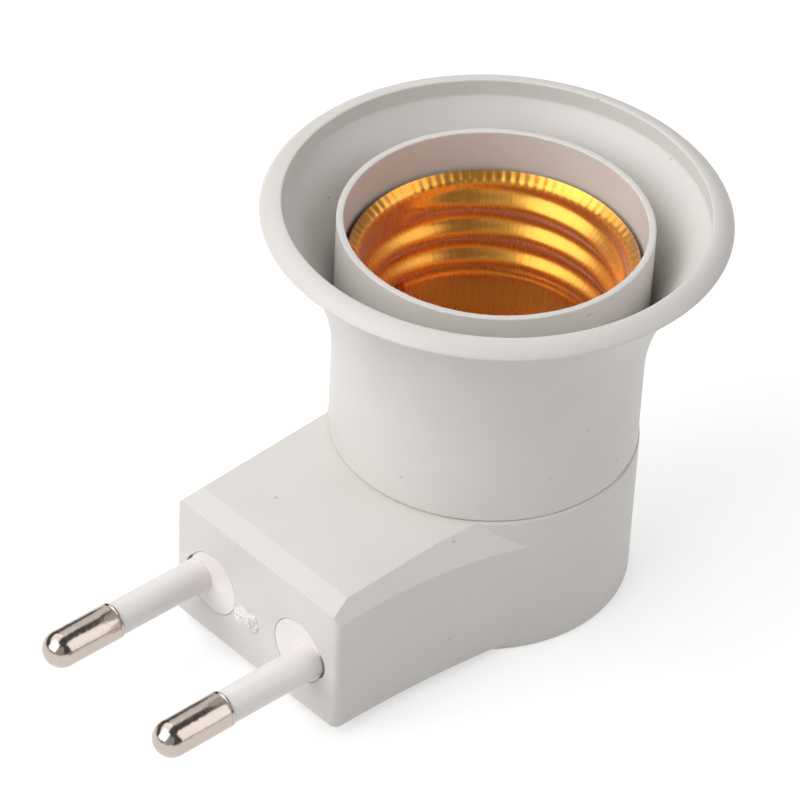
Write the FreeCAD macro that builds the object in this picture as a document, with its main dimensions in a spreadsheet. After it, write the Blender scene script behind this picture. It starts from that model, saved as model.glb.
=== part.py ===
import FreeCAD, Part
import math
import os
import Sketcher

# Plug-in lamp holder: a screw socket for a bulb on a moulded body that carries two round mains pins.
# Z is the socket's axis, with its zero on the flat foot of the round cup, and the pins point along -X.

Vector = FreeCAD.Vector

# Driving sizes in millimetres. Heights are measured up from the foot of the cup.
SIZES = {
    # outside of the two mouldings
    "seam_height": 17.2,
    "cup_wall": 1.6,
    "cup_foot_round": 0.7,
    "seam_chamfer": 0.2,
    "seam_step": 0.15,
    "collar_wall": 0.75,
    "collar_drop": 1.0,
    "skirt_straight": 9.0,
    "flare_reach": 7.75,
    "rim_edge": 0.35,
    "lip_width": 2.3,
    "lip_rise": 1.1,
    "lip_band": 1.85,
    "lip_round": 2.4,
    # plug block
    "block_front": 30.7,
    "block_foot": 1.25,
    "block_half_top": 12.4,
    "block_half_foot": 12.4,
    "join_inset_top": 1.15,
    "join_inset_foot": 1.8,
    "block_join_back": 5.75,
    "block_straight": 1.4,
    "block_corner": 0.8,
    "top_fall": 0.9,
    "bevel_front": 4.16,
    "bevel_drop": 1.7,
    "bevel_line_front": 10.1,
    "bevel_line_back": 12.1,
    "bevel_fall": 19.3,
    "gate_radius": 1.5,
    "gate_height": 0.25,
    "gate_offset": 1.3,
    "gate_centre": 6.75,
    "cut_margin": 2.0,
    # joint between the two mouldings, and the shelf that carries the socket
    "spigot_clearance": 0.05,
    "spigot_wall": 1.1,
    "spigot_length": 4.0,
    "snap_height": 0.25,
    "snap_drop": 2.6,
    "step_floor": 1.2,
    "shelf_drop": 1.0,
    "shelf_floor": 1.6,
    # insulating base and screw shell
    "base_clearance": 0.1,
    "base_thick": 2.4,
    "sheet": 0.4,
    "thread_pitch": 3.629,
    "thread_minor": 12.4,
    "thread_depth": 1.05,
    "runout_depth": 0.3,
    "runout_drop": 0.8,
    "runout_length": 1.5,
    "runout_round": 0.81,
    "land_inset": 0.1,
    "land_length": 3.0,
    "land_rise": 4.792,
    "floor_taper": 0.2,
    "floor_width": 4.1,
    "floor_corner": 0.8,
    "mouth_flare": 1.05,
    "mouth_clearance": 0.3,
    "mouth_lead": 3.15,
    "mouth_sink": 5.2,
    "mouth_band": 0.9,
    # rivets, lugs and the centre contact
    "shell_rivet_inset": 2.2,
    "shell_rivet_angle": -52.0,
    "shell_rivet_shank": 0.9,
    "shell_rivet_head": 1.35,
    "contact_rivet_place": 3.6,
    "contact_rivet_shank": 0.8,
    "contact_rivet_head": 1.4,
    "head_thick": 0.6,
    "rivet_clearance": 0.05,
    "lug_thick": 0.4,
    "lug_half_width": 1.9,
    "lug_length": 6.6,
    "lug_joint": 5.0,
    "leaf_thick": 0.4,
    "leaf_half_width": 1.7,
    "leaf_reach": 3.4,
    "leaf_bend": 1.2,
    "leaf_rise": 3.4,
    "leaf_flat": 1.7,
    "button_radius": 1.3,
    "button_dome": 0.9,
    "button_stem": 0.7,
    "button_tail": 0.3,
    # mains pins, their insulating sleeves and the leads
    "pin_spacing": 17.0,
    "pin_height": 7.9,
    "pin_radius": 1.97,
    "pin_length": 20.0,
    "pin_core": 1.3,
    "sleeve_radius": 1.8,
    "sleeve_length": 11.4,
    "disc_spacing": 13.2,
    "disc_height": 7.8,
    "disc_radius": 3.5,
    "disc_depth": 9.0,
    "disc_clearance": 0.06,
    "tail_length": 6.0,
    "tail_clearance": 0.4,
    "ferrule_wall": 0.4,
    "ferrule_length": 8.0,
    "ferrule_grip": 3.5,
    "ferrule_web": 0.5,
    "lead_radius": 1.0,
    "lead_bend_place": 5.0,
    "live_lead_swing": 4.6,
    "live_lead_rise": 0.6,
    "live_lead_turn": 3.4,
    "neutral_lead_rise": 0.4,
    "solder_radius": 1.55,
    "solder_height": 1.3,
}

# Sizes that follow from those above: the bulb's thread sets the socket, and the socket the mouldings
DERIVED = {
    "thread_major": "=thread_minor + thread_depth",
    "mouth_root": "=thread_major + sheet",
    "mouth_radius": "=mouth_root + mouth_flare",
    "land_radius": "=thread_minor - land_inset",
    "floor_radius": "=land_radius - floor_taper",
    "floor_hole": "=floor_radius - floor_width",
    "shell_rivet_circle": "=floor_radius - shell_rivet_inset",
    "shelf_hole": "=floor_hole",
    "collar_radius": "=mouth_radius + mouth_clearance + collar_wall",
    "cup_radius": "=collar_radius + seam_step",
    "rim_radius": "=collar_radius + flare_reach",
    "land_foot": "=seam_height - shelf_drop + base_thick + sheet + land_rise",
    "crest_last": "=land_foot + land_length + runout_length",
    "crest_top": "=crest_last + thread_pitch + thread_pitch",
    "mouth_height": "=crest_top + mouth_lead",
    "rim_height": "=mouth_height + mouth_sink",
    "flare_start": "=seam_height + skirt_straight",
    "block_flare_back": "=block_front - block_corner - block_straight",
    "block_join_top": "=cup_radius - join_inset_top",
    "block_join_foot": "=cup_radius - join_inset_foot",
}

doc = FreeCAD.newDocument("lamp_holder")
sheet = doc.addObject("Spreadsheet::Sheet", "Sizes")
for row, (alias, size) in enumerate([*SIZES.items(), *DERIVED.items()], start=1):
    sheet.set("A%d" % row, alias)
    sheet.set("B%d" % row, str(size))
    sheet.setAlias("B%d" % row, alias)
doc.recompute()


def number(words):
    """The value of a sum such as 'cup_radius - cup_wall', read from the sheet."""
    total = 0.0
    sign = 1.0
    for word in words.split():
        if word in ("+", "-"):
            sign = -1.0 if word == "-" else 1.0
            continue
        part, _, divisor = word.partition("/")
        size = float(part) if part[0].isdigit() else float(sheet.get(part))
        total += sign * size / (float(divisor) if divisor else 1.0)
        sign = 1.0
    return total


def bound(words):
    """The same sum as an expression that follows the sheet's cells."""
    return " ".join("Sizes." + word if word[0].isalpha() else word for word in words.split())


def new_body(label):
    body = doc.addObject("PartDesign::Body", label)
    body.Label = label
    return body


def new_sketch(body, name, role, offset=None):
    """A sketch on one of the body's own origin planes, moved along its normal by offset."""
    sketch = body.newObject("Sketcher::SketchObject", name)
    plane = [feature for feature in body.Origin.OriginFeatures if feature.Role == role][0]
    sketch.AttachmentSupport = (plane, [""])
    sketch.MapMode = "FlatFace"
    if offset:
        sketch.AttachmentOffset = FreeCAD.Placement(Vector(0, 0, number(offset)), FreeCAD.Rotation())
        sketch.setExpression("AttachmentOffset.Base.z", bound(offset))
    return sketch


def pin_point(sketch, geometry, place, across, up):
    """Holds one point of a sketch at two sums measured from the origin."""
    for kind, words in (("DistanceX", across), ("DistanceY", up)):
        if words is None:
            continue
        index = sketch.addConstraint(Sketcher.Constraint(kind, -1, 1, geometry, place, number(words)))
        sketch.setExpression("Constraints[%d]" % index, bound(words))


def tangent_arc(start, heading, end):
    """Centre of the arc that leaves start along heading and passes through end."""
    chord = end - start
    normal = Vector(-heading.y, heading.x, 0)
    radius = chord.dot(chord) / (2 * chord.dot(normal))
    return start + normal * radius


def radius_arc(start, end, radius):
    """Centre of an arc of this radius from start to end; a positive radius bulges to the left."""
    chord = end - start
    middle = (start + end) * 0.5
    normal = Vector(-chord.y, chord.x, 0).normalize()
    reach = math.sqrt(radius * radius - chord.Length ** 2 / 4)
    return middle - normal * reach if radius > 0 else middle + normal * reach


def arc_about(centre, start, end, heading=None):
    """The arc from start to end about centre, and whether it runs anticlockwise.

    It leaves start along heading, or goes the short way round where no heading is given.
    """
    spoke = start - centre
    left = Vector(-spoke.y, spoke.x, 0).dot(heading or end - start) > 0
    ends = (start, end) if left else (end, start)
    tips = [math.atan2((tip - centre).y, (tip - centre).x) for tip in ends]
    whole = Part.Circle(centre, Vector(0, 0, 1), spoke.Length)
    return Part.ArcOfCircle(whole, tips[0], tips[1]), left


def outline(sketch, corners):
    """Draws a closed outline in a sketch.

    Each corner is (across, up) for a straight side that leads to it, (across, up, "after") for an arc
    tangent to the side before it, (across, up, "ahead") for an arc tangent to the side that follows, or
    (across, up, "round", radius) for an arc of that radius. A radius that starts with a minus sign
    bulges to the right of the arc's chord, and any other to its left. (across, None, "beside", index)
    is an arc about the same centre as an earlier one.
    """
    points = [Vector(number(corner[0]), number(corner[1] or "0"), 0) for corner in corners]
    heading = Vector(0, 1, 0)
    sides = []
    centres = {}
    for index, corner in enumerate(corners):
        start = points[index - 1]
        end = points[index]
        style = corner[2] if len(corner) > 2 else "straight"
        if style == "straight":
            geometry = sketch.addGeometry(Part.LineSegment(start, end), False)
            heading = end - start
            sides.append((geometry, 1, 2, style))
            continue
        if style == "after":
            centre = tangent_arc(start, heading.normalize(), end)
            curve, left = arc_about(centre, start, end, heading)
        elif style == "ahead":
            following = (points[(index + 1) % len(points)] - end).normalize()
            centre = tangent_arc(end, following * -1, start)
            curve, right = arc_about(centre, end, start, following * -1)
            left = not right
        elif style == "beside":
            centre = centres[corner[3]]
            rise = math.sqrt((start - centre).Length ** 2 - (end.x - centre.x) ** 2)
            end.y = centre.y + rise
            curve, left = arc_about(centre, start, end)
        else:
            sign = -1 if corner[3].startswith("-") else 1
            centre = radius_arc(start, end, sign * number(corner[3].lstrip("- ")))
            curve, left = arc_about(centre, start, end)
        geometry = sketch.addGeometry(curve, False)
        centres[index] = centre
        sides.append((geometry, 1 if left else 2, 2 if left else 1, style))
        spoke = end - centre
        heading = Vector(-spoke.y, spoke.x, 0)
        if heading.dot(end - start) < 0:
            heading = heading * -1
    for index, (geometry, start_place, end_place, style) in enumerate(sides):
        corner = corners[index]
        before = sides[index - 1]
        smooth = style == "after" or before[3] == "ahead"
        pin_point(sketch, geometry, end_place, corner[0], corner[1])
        joint = "Tangent" if smooth else "Coincident"
        sketch.addConstraint(Sketcher.Constraint(joint, before[0], before[2], geometry, start_place))
        if style == "beside":
            sketch.addConstraint(Sketcher.Constraint("Coincident", geometry, 3, sides[corner[3]][0], 3))
        if style == "round":
            words = corner[3].lstrip("- ")
            held = sketch.addConstraint(Sketcher.Constraint("Radius", geometry, number(words)))
            sketch.setExpression("Constraints[%d]" % held, bound(words))


def circle(sketch, across, up, radius):
    drawn = Part.Circle(Vector(number(across), number(up), 0), Vector(0, 0, 1), number(radius))
    geometry = sketch.addGeometry(drawn, False)
    pin_point(sketch, geometry, 3, across, up)
    held = sketch.addConstraint(Sketcher.Constraint("Radius", geometry, number(radius)))
    sketch.setExpression("Constraints[%d]" % held, bound(radius))


def turn(body, name, corners, cut=False):
    """Revolves an outline of (radius, height) corners about the body's Z axis."""
    sketch = new_sketch(body, name + "_outline", "XZ_Plane")
    outline(sketch, corners)
    feature = body.newObject("PartDesign::Groove" if cut else "PartDesign::Revolution", name)
    feature.Profile = sketch
    feature.ReferenceAxis = (sketch, ["V_Axis"])
    feature.Angle = 360
    return feature


def pad(body, name, sketch, length, cut=False, both_ways=False, backwards=False):
    """Raises or cuts the sketch by length, to one side or by half to each side."""
    feature = body.newObject("PartDesign::Pocket" if cut else "PartDesign::Pad", name)
    feature.Profile = sketch
    feature.Length = number(length)
    feature.setExpression("Length", bound(length))
    feature.Midplane = both_ways
    feature.Reversed = backwards
    return feature


def at(x, y, z, axis=(0, 0, 1), angle=0):
    return FreeCAD.Placement(Vector(x, y, z), FreeCAD.Rotation(Vector(*axis), angle))


# The lower moulding: a round cup with a plug block grown out of its side

def block_outline(sketch, half, join):
    """The plug block seen from above: straight sides that sweep out to meet the cup."""
    outline(sketch, [
        ("0 - block_join_back", join),
        ("0 - block_flare_back", half, "ahead"),
        ("block_corner - block_front", half),
        ("0 - block_front", half + " - block_corner", "round", "- block_corner"),
        ("0 - block_front", "block_corner - " + half),
        ("block_corner - block_front", "0 - " + half, "round", "- block_corner"),
        ("0 - block_flare_back", "0 - " + half),
        ("0 - block_join_back", "0 - " + join, "after"),
    ])


lower_housing = new_body("lower_housing")
foot_sketch = new_sketch(lower_housing, "block_foot_outline", "XY_Plane", "block_foot")
block_outline(foot_sketch, "block_half_foot", "block_join_foot")
top_sketch = new_sketch(lower_housing, "block_top_outline", "XY_Plane", "seam_height")
block_outline(top_sketch, "block_half_top", "block_join_top")
block = lower_housing.newObject("PartDesign::AdditiveLoft", "plug_block")
block.Profile = foot_sketch
block.Sections = [top_sketch]
block.Ruled = True
doc.recompute()

# Its top slopes down a little to the front, with a bevel along the front and a wider one on each side

top_slope = new_sketch(lower_housing, "top_slope_outline", "XZ_Plane")
outline(top_slope, [
    ("0 - cup_radius", "seam_height"),
    ("0 - block_front", "seam_height"),
    ("0 - block_front", "seam_height - top_fall"),
])
pad(lower_housing, "top_slope", top_slope, "cup_radius + cup_radius", cut=True, both_ways=True)
front_bevel = new_sketch(lower_housing, "front_bevel_outline", "XZ_Plane")
outline(front_bevel, [
    ("bevel_front - block_front", "seam_height"),
    ("0 - block_front - bevel_front", "seam_height"),
    ("0 - block_front - bevel_front", "seam_height - bevel_drop - bevel_drop"),
])
pad(lower_housing, "front_bevel", front_bevel, "cup_radius + cup_radius", cut=True, both_ways=True)


def bevel_section(name, place, across, reach):
    """What a side bevel takes off, in a plane across the block: all above its sloping line."""
    sketch = new_sketch(lower_housing, name, "YZ_Plane", place)
    outline(sketch, [(across, "seam_height"), (reach, "seam_height"), (reach, "seam_height - bevel_fall")])
    return sketch


for name, minus in (("left", ""), ("right", "0 - ")):
    far = " + cup_radius" if minus == "" else " - cup_radius"
    front_line = minus + "bevel_line_front"
    back_line = minus + "bevel_line_back"
    front = bevel_section(name + "_bevel_front", "0 - block_front - cut_margin", front_line, front_line + far)
    back = bevel_section(name + "_bevel_back", None, back_line, back_line + far)
    side_bevel = lower_housing.newObject("PartDesign::SubtractiveLoft", name + "_bevel")
    side_bevel.Profile = front
    side_bevel.Sections = [back]
    side_bevel.Ruled = True
    doc.recompute()

turn(lower_housing, "cup", [
    ("0", "0"),
    ("cup_radius - cup_foot_round", "0"),
    ("cup_radius", "cup_foot_round", "after"),
    ("cup_radius", "seam_height - seam_chamfer"),
    ("cup_radius - seam_chamfer", "seam_height"),
    ("0", "seam_height"),
])
turn(lower_housing, "cup_hollow", [
    ("0", "cup_wall"),
    ("cup_radius - cup_wall", "cup_wall"),
    ("cup_radius - cup_wall", "seam_height - snap_drop - snap_height"),
    ("cup_radius - cup_wall + snap_height", "seam_height - snap_drop"),
    ("cup_radius - cup_wall", "seam_height - snap_drop + snap_height"),
    ("cup_radius - cup_wall", "seam_height + cut_margin"),
    ("0", "seam_height + cut_margin"),
], cut=True)

# Two deep round seats for the pins' discs run in from the front, and a narrow bore behind each one
# lets the pin's tail through to the hollow of the cup.
disc_seats = new_sketch(lower_housing, "disc_seats_outline", "YZ_Plane", "0 - block_front")
for side in ("", "0 - "):
    circle(disc_seats, side + "disc_spacing/2", "disc_height", "disc_radius + disc_clearance")
pad(lower_housing, "disc_seats", disc_seats, "disc_depth", cut=True, backwards=True)
tail_bores = new_sketch(lower_housing, "tail_bores_outline", "YZ_Plane", "0 - block_front")
for side in ("", "0 - "):
    circle(tail_bores, side + "pin_spacing/2", "pin_height", "pin_core + ferrule_wall + tail_clearance")
pad(lower_housing, "tail_bores", tail_bores, "block_front - block_join_back", cut=True, backwards=True)
gate_mark = new_sketch(lower_housing, "gate_mark_outline", "YZ_Plane", "0 - block_front")
circle(gate_mark, "gate_offset", "gate_centre", "gate_radius")
pad(lower_housing, "gate_mark", gate_mark, "gate_height", backwards=True)

# The upper moulding: a thin collar inside a flared skirt, with the spigot that clicks into the cup

upper_skirt = new_body("upper_skirt")
SPIGOT = "cup_radius - cup_wall - spigot_clearance"
SPIGOT_FOOT = "seam_height - spigot_length"
SPIGOT_BORE = SPIGOT + " - spigot_wall"
SHELF = "seam_height - shelf_drop"
LIP = "rim_radius - lip_width"
turn(upper_skirt, "skirt", [
    ("shelf_hole", SHELF + " - shelf_floor"),
    (SPIGOT_BORE, SHELF + " - shelf_floor"),
    (SPIGOT_BORE, SPIGOT_FOOT),
    (SPIGOT + " - snap_height", SPIGOT_FOOT),
    (SPIGOT, SPIGOT_FOOT + " + snap_height"),
    (SPIGOT, "seam_height - snap_drop - snap_height"),
    (SPIGOT + " + snap_height", "seam_height - snap_drop"),
    (SPIGOT, "seam_height - snap_drop + snap_height"),
    (SPIGOT, "seam_height"),
    ("collar_radius - seam_chamfer", "seam_height"),
    ("collar_radius", "seam_height + seam_chamfer"),
    ("collar_radius", "flare_start"),
    ("rim_radius - rim_edge", "rim_height - rim_edge", "after"),
    ("rim_radius", "rim_height"),
    (LIP, "rim_height + lip_rise", "round", "- lip_round"),
    (LIP, "rim_height + lip_rise - lip_band"),
    ("collar_radius", None, "beside", 12),
    ("collar_radius", "rim_height - collar_drop"),
    ("collar_radius - collar_wall", "rim_height - collar_drop"),
    ("collar_radius - collar_wall", "seam_height + step_floor"),
    (SPIGOT_BORE, "seam_height + step_floor"),
    (SPIGOT_BORE, SHELF),
    ("shelf_hole", SHELF),
])


# Holes for the rivets that hold the screw shell, the same in the shelf and in the insulating base

def shell_rivet_places():
    """The two rivets' places, opposite each other on their circle."""
    angle = math.radians(number("shell_rivet_angle"))
    ring = number("shell_rivet_circle")
    place = Vector(ring * math.cos(angle), ring * math.sin(angle), 0)
    return [place, place * -1]


def shell_rivet_holes(body, level):
    sketch = new_sketch(body, "rivet_holes_outline", "XY_Plane", level)
    drawn = Part.Circle(Vector(0, 0, 0), Vector(0, 0, 1), number("shell_rivet_circle"))
    ring = sketch.addGeometry(drawn, True)
    sketch.addConstraint(Sketcher.Constraint("Coincident", ring, 3, -1, 1))
    held = sketch.addConstraint(Sketcher.Constraint("Radius", ring, number("shell_rivet_circle")))
    sketch.setExpression("Constraints[%d]" % held, bound("shell_rivet_circle"))
    for place in shell_rivet_places():
        radius = number("shell_rivet_shank + rivet_clearance")
        hole = sketch.addGeometry(Part.Circle(place, Vector(0, 0, 1), radius), False)
        across = sketch.addConstraint(Sketcher.Constraint("DistanceX", -1, 1, hole, 3, place.x))
        sign = "-" if place.x < 0 else ""
        sketch.setExpression("Constraints[%d]" % across,
                             sign + "Sizes.shell_rivet_circle * cos(Sizes.shell_rivet_angle)")
        sketch.addConstraint(Sketcher.Constraint("PointOnObject", hole, 3, ring))
        held = sketch.addConstraint(Sketcher.Constraint("Radius", hole, radius))
        sketch.setExpression("Constraints[%d]" % held, bound("shell_rivet_shank + rivet_clearance"))
    return sketch


skirt_holes = shell_rivet_holes(upper_skirt, SHELF)
pad(upper_skirt, "rivet_holes", skirt_holes, "shelf_floor", cut=True)

# The insulating base lies on the shelf, and its low boss centres the screw shell

BASE_TOP = SHELF + " + base_thick"
BOSS_TOP = BASE_TOP + " + sheet"
insulating_base = new_body("insulating_base")
turn(insulating_base, "disc", [
    ("0", SHELF),
    (SPIGOT_BORE + " - base_clearance", SHELF),
    (SPIGOT_BORE + " - base_clearance", BASE_TOP),
    ("floor_hole - base_clearance", BASE_TOP),
    ("floor_hole - base_clearance", BOSS_TOP),
    ("0", BOSS_TOP),
])
base_holes = shell_rivet_holes(insulating_base, BASE_TOP)
pad(insulating_base, "rivet_holes", base_holes, "base_thick", cut=True)
contact_hole = new_sketch(insulating_base, "contact_hole_outline", "XY_Plane", BOSS_TOP)
circle(contact_hole, "0 - contact_rivet_place", "0", "contact_rivet_shank + rivet_clearance")
pad(insulating_base, "contact_hole", contact_hole, "base_thick + sheet", cut=True)

# The screw shell: drawn sheet with a rolled thread, a flared mouth and a flat floor under the bulb

THREAD_GROOVES = 2
THREAD_MIDDLE = "thread_minor/2 + thread_major/2"


def thread_side(shift, downwards):
    """One face of the rolled thread: a crest, then a groove and a crest for each turn."""
    steps = []
    for groove in range(THREAD_GROOVES):
        crest = "crest_top" + " - thread_pitch" * groove
        steps += [
            (THREAD_MIDDLE + shift, crest + " - thread_pitch/4", "after"),
            ("thread_major" + shift, crest + " - thread_pitch/2", "after"),
            (THREAD_MIDDLE + shift, crest + " - thread_pitch/2 - thread_pitch/4", "after"),
            ("thread_minor" + shift, crest + " - thread_pitch", "after"),
        ]
    if downwards:
        return steps
    return steps[-2::-1] + [("thread_minor" + shift, "crest_top", "after")]


SHELL_FLOOR = BASE_TOP + " + sheet"
screw_shell = new_body("screw_shell")
turn(screw_shell, "wall", [
    ("mouth_radius - sheet", "mouth_height"),
    ("thread_major", "mouth_height - mouth_band"),
    ("thread_major", "crest_top + thread_pitch/2"),
    (THREAD_MIDDLE, "crest_top + thread_pitch/4", "after"),
    ("thread_minor", "crest_top", "after"),
] + thread_side("", True) + [
    ("thread_minor + runout_depth/2", "crest_last - runout_drop/2", "after"),
    ("thread_minor + runout_depth", "crest_last - runout_drop", "after"),
    ("land_radius", "crest_last - runout_length", "after"),
    ("land_radius", "land_foot"),
    ("floor_radius", SHELL_FLOOR + " + floor_corner"),
    ("floor_radius - floor_corner", SHELL_FLOOR, "ahead"),
    ("floor_hole", SHELL_FLOOR),
    ("floor_hole", BASE_TOP),
    ("floor_radius - floor_corner", BASE_TOP),
    ("floor_radius + sheet", BASE_TOP + " + floor_corner + sheet", "after"),
    ("land_radius + sheet", "crest_last - runout_length"),
    ("thread_minor + runout_depth + sheet", "crest_last - runout_drop", "round", "- runout_round"),
    ("thread_minor + runout_depth/2 + sheet", "crest_last - runout_drop/2", "after"),
    ("thread_minor + sheet", "crest_last", "after"),
] + thread_side(" + sheet", False) + [
    (THREAD_MIDDLE + " + sheet", "crest_top + thread_pitch/4", "after"),
    ("mouth_root", "crest_top + thread_pitch/2", "after"),
    ("mouth_root", "mouth_height - mouth_band"),
    ("mouth_radius", "mouth_height"),
])
shell_holes = shell_rivet_holes(screw_shell, SHELL_FLOOR)
pad(screw_shell, "rivet_holes", shell_holes, "sheet", cut=True)


# Rivets: a low domed head above, a shank through the stack and a turned-over head below

def rivet(label, shank, head, foot, top, place):
    body = new_body(label)
    turn(body, "rivet", [
        ("0", foot + " - head_thick"),
        (shank, foot + " - head_thick"),
        (head, foot),
        (shank, foot),
        (shank, top),
        (head, top),
        (head + "/2", top + " + head_thick", "ahead"),
        ("0", top + " + head_thick"),
    ])
    body.Placement = at(place.x, place.y, 0)
    return body


lug_place, plain_place = shell_rivet_places()
rivet("shell_rivet_front", "shell_rivet_shank", "shell_rivet_head",
      SHELF + " - shelf_floor - lug_thick", SHELL_FLOOR, lug_place)
rivet("shell_rivet_back", "shell_rivet_shank", "shell_rivet_head",
      SHELF + " - shelf_floor", SHELL_FLOOR, plain_place)
contact_place = Vector(-number("contact_rivet_place"), 0, 0)
rivet("contact_rivet", "contact_rivet_shank", "contact_rivet_head",
      SHELF + " - lug_thick", BOSS_TOP + " + leaf_thick", contact_place)


# Solder lugs: a ring under a rivet's lower head and a tongue that takes a lead

def lug(label, shank, level, place, angle=0):
    body = new_body(label)
    sketch = new_sketch(body, "lug_outline", "XY_Plane", level + " - lug_thick")
    outline(sketch, [
        ("lug_length - lug_half_width/2", "0 - lug_half_width"),
        ("lug_length", "0 - lug_half_width/2", "after"),
        ("lug_length", "lug_half_width/2"),
        ("lug_length - lug_half_width/2", "lug_half_width", "after"),
        ("0", "lug_half_width"),
        ("0", "0 - lug_half_width", "after"),
    ])
    circle(sketch, "0", "0", shank + " + rivet_clearance")
    pad(body, "lug", sketch, "lug_thick")
    body.Placement = at(place.x, place.y, 0, angle=angle)
    return body


lug("shell_lug", "shell_rivet_shank", SHELF + " - shelf_floor", lug_place, angle=180)
lug("centre_lug", "contact_rivet_shank", SHELF, contact_place)

# The centre contact: a bronze strip folded back over itself, with a silver button at its free end

centre_contact = new_body("centre_contact")
leaf = new_sketch(centre_contact, "leaf_outline", "XZ_Plane")
LEAF_END = "0 - contact_rivet_place - leaf_half_width"
outline(leaf, [
    (LEAF_END, BOSS_TOP),
    ("leaf_reach", BOSS_TOP),
    ("leaf_reach", BOSS_TOP + " + leaf_bend + leaf_bend", "after"),
    ("leaf_flat", BOSS_TOP + " + leaf_rise"),
    ("0 - leaf_flat", BOSS_TOP + " + leaf_rise"),
    ("0 - leaf_flat", BOSS_TOP + " + leaf_rise - leaf_thick"),
    ("leaf_flat", BOSS_TOP + " + leaf_rise - leaf_thick"),
    ("leaf_reach", BOSS_TOP + " + leaf_bend + leaf_bend - leaf_thick"),
    ("leaf_reach", BOSS_TOP + " + leaf_thick", "ahead"),
    (LEAF_END, BOSS_TOP + " + leaf_thick"),
])
pad(centre_contact, "leaf", leaf, "leaf_half_width + leaf_half_width", both_ways=True)
leaf_holes = new_sketch(centre_contact, "leaf_holes_outline", "XY_Plane", BOSS_TOP + " + leaf_thick")
circle(leaf_holes, "0 - contact_rivet_place", "0", "contact_rivet_shank + rivet_clearance")
pad(centre_contact, "rivet_hole", leaf_holes, "leaf_thick", cut=True)
button_hole = new_sketch(centre_contact, "button_hole_outline", "XY_Plane", BOSS_TOP + " + leaf_rise")
circle(button_hole, "0", "0", "button_stem + rivet_clearance")
pad(centre_contact, "button_hole", button_hole, "leaf_thick", cut=True)

contact_button = new_body("contact_button")
BUTTON_SEAT = BOSS_TOP + " + leaf_rise"
turn(contact_button, "button", [
    ("0", BUTTON_SEAT + " - leaf_thick - button_tail"),
    ("button_stem", BUTTON_SEAT + " - leaf_thick - button_tail"),
    ("button_stem + button_tail", BUTTON_SEAT + " - leaf_thick"),
    ("button_stem", BUTTON_SEAT + " - leaf_thick"),
    ("button_stem", BUTTON_SEAT),
    ("button_radius", BUTTON_SEAT),
    ("button_radius/2", BUTTON_SEAT + " + button_dome", "ahead"),
    ("0", BUTTON_SEAT + " + button_dome"),
])


# Mains pins. Each is turned with its nose up Z and its zero in the plane of the block's front,
# then laid along -X. Its sleeve stands off-centre on the disc that fills the round seat.

def pin_placement(half_spacing):
    return at(-number("block_front"), half_spacing, number("pin_height"), axis=(0, 1, 0), angle=-90)


PIN_TAIL = "0 - disc_depth - tail_length"
FERRULE_MOUTH = PIN_TAIL + " + ferrule_grip"
LEAD_START = PIN_TAIL + " - ferrule_web"


def mains_pin(label, half_spacing):
    body = new_body(label)
    turn(body, "pin", [
        ("0", PIN_TAIL),
        ("pin_core", PIN_TAIL),
        ("pin_core", "sleeve_length"),
        ("pin_radius", "sleeve_length"),
        ("pin_radius", "pin_length - pin_radius"),
        ("0", "pin_length", "after"),
    ])
    body.Placement = pin_placement(half_spacing)


def pin_sleeve(label, side):
    """side is 1 for the pin at +Y and -1 for the pin at -Y, where the disc lies the other way."""
    body = new_body(label)
    outward = "disc_spacing/2" if side > 0 else "0 - disc_spacing/2"
    pin_across = "pin_spacing/2" if side > 0 else "0 - pin_spacing/2"
    disc = new_sketch(body, "disc_outline", "XY_Plane")
    circle(disc, "disc_height - pin_height", outward, "disc_radius")
    pad(body, "disc", disc, "disc_depth", backwards=True)
    sleeve = new_sketch(body, "sleeve_outline", "XY_Plane")
    circle(sleeve, "0", pin_across, "sleeve_radius")
    pad(body, "sleeve", sleeve, "sleeve_length")
    bore = new_sketch(body, "bore_outline", "XY_Plane", "0 - disc_depth")
    circle(bore, "0", pin_across, "pin_core")
    pad(body, "bore", bore, "disc_depth + sleeve_length", cut=True, backwards=True)
    body.Placement = pin_placement(0)


def ferrule(label, half_spacing):
    body = new_body(label)
    turn(body, "barrel", [
        ("0", PIN_TAIL + " - ferrule_web"),
        ("lead_radius", PIN_TAIL + " - ferrule_web"),
        ("lead_radius", FERRULE_MOUTH + " - ferrule_length"),
        ("pin_core + ferrule_wall", FERRULE_MOUTH + " - ferrule_length"),
        ("pin_core + ferrule_wall", FERRULE_MOUTH),
        ("pin_core", FERRULE_MOUTH),
        ("pin_core", PIN_TAIL),
        ("0", PIN_TAIL),
    ])
    body.Placement = pin_placement(half_spacing)


for name, side in (("live", 1), ("neutral", -1)):
    half_spacing = side * number("pin_spacing/2")
    mains_pin(name + "_pin", half_spacing)
    pin_sleeve(name + "_sleeve", side)
    ferrule(name + "_ferrule", half_spacing)


# Leads: insulated wires from the ferrules to the lugs, in straight runs joined by tangent arcs.
# Each arc takes this share of the shorter run on either side of it.

BEND_SHARE = 0.45


def lead(label, points):
    edges = []
    start = points[0]
    for before, corner, after in zip(points, points[1:], points[2:]):
        inward = (corner - before).normalize()
        outward = (after - corner).normalize()
        half_turn = inward.getAngle(outward) / 2
        trim = BEND_SHARE * min((corner - before).Length, (after - corner).Length)
        radius = trim / math.tan(half_turn)
        first = corner - inward * trim
        last = corner + outward * trim
        toward = (outward - inward).normalize()
        middle = corner + toward * (radius / math.cos(half_turn) - radius)
        edges.append(Part.LineSegment(start, first).toShape())
        edges.append(Part.Arc(first, middle, last).toShape())
        start = last
    edges.append(Part.LineSegment(start, points[-1]).toShape())
    path = Part.Wire(edges)
    heading = points[1] - points[0]
    section = Part.Wire([Part.makeCircle(number("lead_radius"), points[0], heading)])
    tube = path.makePipeShell([section], True, False)
    piece = doc.addObject("Part::Feature", label)
    piece.Label = label
    piece.Shape = tube


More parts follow.
